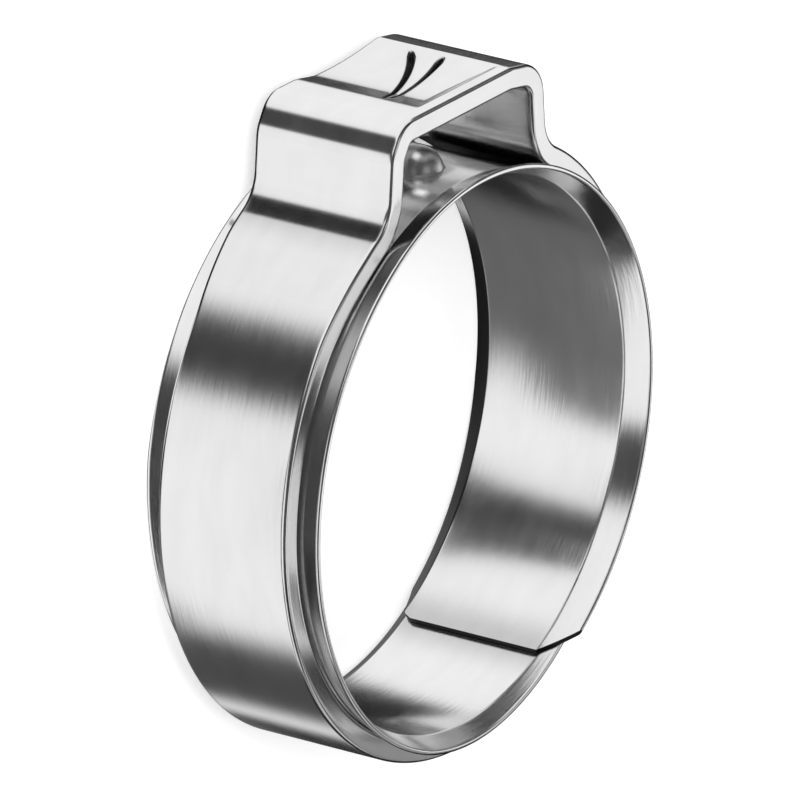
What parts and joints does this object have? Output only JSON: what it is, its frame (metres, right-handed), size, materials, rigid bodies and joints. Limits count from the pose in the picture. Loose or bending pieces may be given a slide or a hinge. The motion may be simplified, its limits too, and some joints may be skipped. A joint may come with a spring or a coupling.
{
  "type": "ear hose clamp",
  "caption": "Endless steel band with a flat-topped folded ear round a thin split inner ring with flared lips, for clamping a hose on a spigot.",
  "frame": {"origin": "centre of the bore, halfway through the width", "axes": "+Z along the bore axis, out of the front face; +Y out through the middle of the ear; the clamp lies flat on its back lip"},
  "size_m": [0.0292, 0.0323, 0.0097],
  "materials": {
    "band_steel": "bright rolled stainless steel, finely brushed along the band",
    "strip_steel": "bright rolled thin stainless strip, smoother than the band"
  },
  "bodies": {
    "root": {"ear_band": "band_steel", "inner_ring": "strip_steel"}
  },
  "joints": []
}
